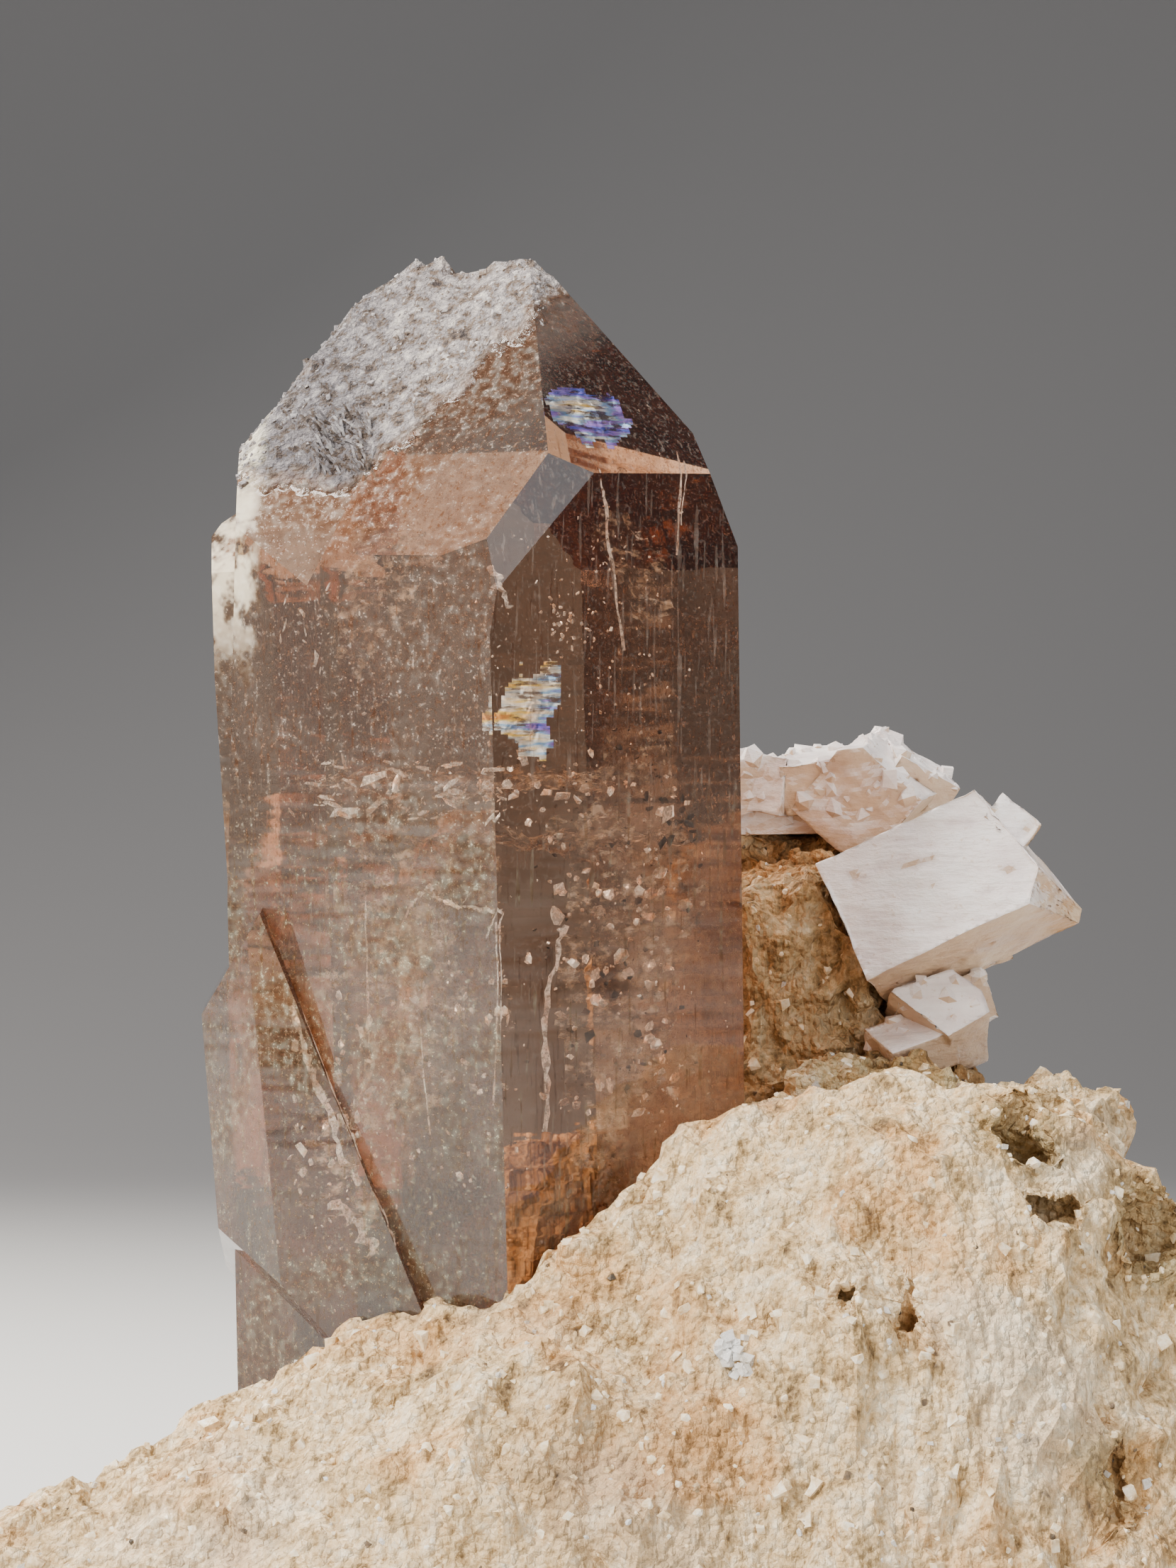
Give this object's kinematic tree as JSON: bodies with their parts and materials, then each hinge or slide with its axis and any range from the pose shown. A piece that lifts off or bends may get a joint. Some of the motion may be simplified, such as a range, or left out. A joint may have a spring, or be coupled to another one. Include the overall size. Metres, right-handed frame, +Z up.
{
  "type": "smoky quartz crystal on matrix",
  "caption": "Tall smoky quartz crystal with a crusted tip, standing on cream sugary rock, with white blocky feldspar crystals on a knob behind it.",
  "frame": {"origin": "middle of the flat underside", "axes": "+Z up, roughly along the quartz crystal; -Y faces the side that the specimen is shown from; +X to that side's right, where the feldspar is"},
  "size_m": [0.094, 0.066, 0.0882],
  "materials": {
    "smoky_quartz": "clear brown crystal, dusty on its front left face and crusted white at the tip",
    "matrix_rock": "rough, sugary, with sparkling grains",
    "white_feldspar": "satin, slightly translucent"
  },
  "bodies": {
    "root": {"smoky_quartz": "smoky_quartz", "matrix_rock": "matrix_rock", "feldspar_block": "white_feldspar", "feldspar_upper": "white_feldspar", "feldspar_lower": "white_feldspar"}
  },
  "joints": []
}
